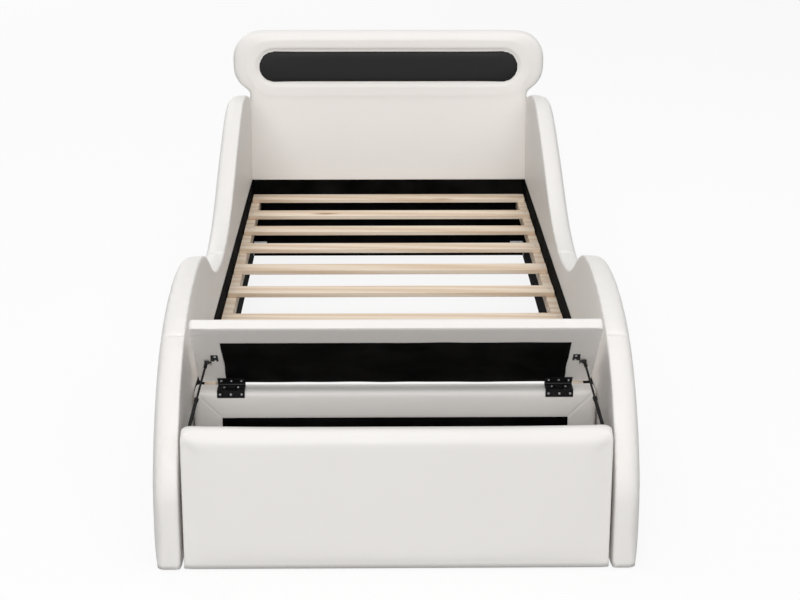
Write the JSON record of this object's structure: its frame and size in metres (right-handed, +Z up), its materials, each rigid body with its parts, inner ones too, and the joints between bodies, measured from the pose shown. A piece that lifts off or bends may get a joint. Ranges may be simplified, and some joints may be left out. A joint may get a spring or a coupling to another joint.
{
  "type": "car bed",
  "caption": "Upholstered car-style single bed with fender-shaped side panels, spoiler headboard, wooden slats and a hinged storage box lid on gas struts at the foot.",
  "frame": {"origin": "on the floor under the middle of the whole bed", "axes": "+X to the right seen from the foot, +Y from the foot to the headboard, +Z up"},
  "size_m": [1.058, 2.468, 0.788],
  "materials": {
    "white_leatherette": "satin",
    "black_leatherette": "satin",
    "black_lining": "matte",
    "particle_board": "matte",
    "natural_pine": "matte",
    "black_steel": "satin",
    "bright_steel": "polished",
    "zinc_steel": "satin",
    "glide_plastic": "matte"
  },
  "bodies": {
    "bedstead": {"box_floor": "particle_board", "box_floor_cleats": "natural_pine", "corner_angles": "zinc_steel", "frame_screws": "zinc_steel", "front_panel_board": "particle_board", "front_panel_cover": "white_leatherette", "glides": "glide_plastic", "headboard_board": "particle_board", "headboard_cover": "white_leatherette", "headboard_lining": "black_lining", "headboard_pad": "black_leatherette", "hinge_pins": "bright_steel", "joint_plates": "zinc_steel", "ledger_left": "natural_pine", "ledger_right": "natural_pine", "lid_rest_batten": "natural_pine", "partition_board": "particle_board", "partition_cover": "white_leatherette", "partition_lining": "black_lining", "side_board_left": "particle_board", "side_board_right": "particle_board", "side_cover_left": "white_leatherette", "side_cover_right": "white_leatherette", "side_lining_left": "black_lining", "side_lining_right": "black_lining", "slat_1": "natural_pine", "slat_10": "natural_pine", "slat_2": "natural_pine", "slat_3": "natural_pine", "slat_4": "natural_pine", "slat_5": "natural_pine", "slat_6": "natural_pine", "slat_7": "natural_pine", "slat_8": "natural_pine", "slat_9": "natural_pine", "slat_screws": "zinc_steel", "strut_lower_bracket_left": "black_steel", "strut_lower_bracket_right": "black_steel", "wall_leaf_left": "black_steel", "wall_leaf_right": "black_steel", "wall_leaf_screws": "zinc_steel"},
    "lid": {"lid_board": "particle_board", "lid_cover": "white_leatherette", "lid_leaf_left": "black_steel", "lid_leaf_right": "black_steel", "lid_lining": "black_lining", "lid_screws": "zinc_steel", "strut_upper_bracket_left": "black_steel", "strut_upper_bracket_right": "black_steel"},
    "strut_left_tube": {"strut_collar_left": "black_steel", "strut_foot_left": "black_steel", "strut_tube_left": "black_steel"},
    "strut_left_rod": {"strut_rod_left": "bright_steel", "strut_socket_left": "black_steel"},
    "strut_right_tube": {"strut_collar_right": "black_steel", "strut_foot_right": "black_steel", "strut_tube_right": "black_steel"},
    "strut_right_rod": {"strut_rod_right": "bright_steel", "strut_socket_right": "black_steel"}
  },
  "joints": [
    {"name": "lid_hinge", "type": "hinge", "parent": "bedstead", "child": "lid", "pos_m": [0, -0.883, 0.3015], "axis": [-1, 0, 0], "range_deg": [-46.63, 0], "stiffness_Nm_per_rad": 3, "springref_deg": 68.75},
    {"name": "strut_left_pivot", "type": "hinge", "parent": "bedstead", "child": "strut_left_tube", "pos_m": [-0.463, -1.151, 0.265], "axis": [1, 0, 0], "range_deg": [-27.6, 0]},
    {"name": "strut_left_slide", "type": "slide", "parent": "strut_left_tube", "child": "strut_left_rod", "axis": [0.1699, 0.7744, 0.6095], "range_m": [-0.079, 0]},
    {"name": "strut_right_pivot", "type": "hinge", "parent": "bedstead", "child": "strut_right_tube", "pos_m": [0.463, -1.151, 0.265], "axis": [1, 0, 0], "range_deg": [-27.6, 0]},
    {"name": "strut_right_slide", "type": "slide", "parent": "strut_right_tube", "child": "strut_right_rod", "axis": [-0.1699, 0.7744, 0.6095], "range_m": [-0.079, 0]}
  ],
  "couplings": [
    {"joint": "strut_left_pivot", "follows": "lid_hinge", "ratio": 0.58881},
    {"joint": "strut_left_slide", "follows": "lid_hinge", "m_per_rad": 0.096238},
    {"joint": "strut_right_pivot", "follows": "lid_hinge", "ratio": 0.58881},
    {"joint": "strut_right_slide", "follows": "lid_hinge", "m_per_rad": 0.096238}
  ]
}
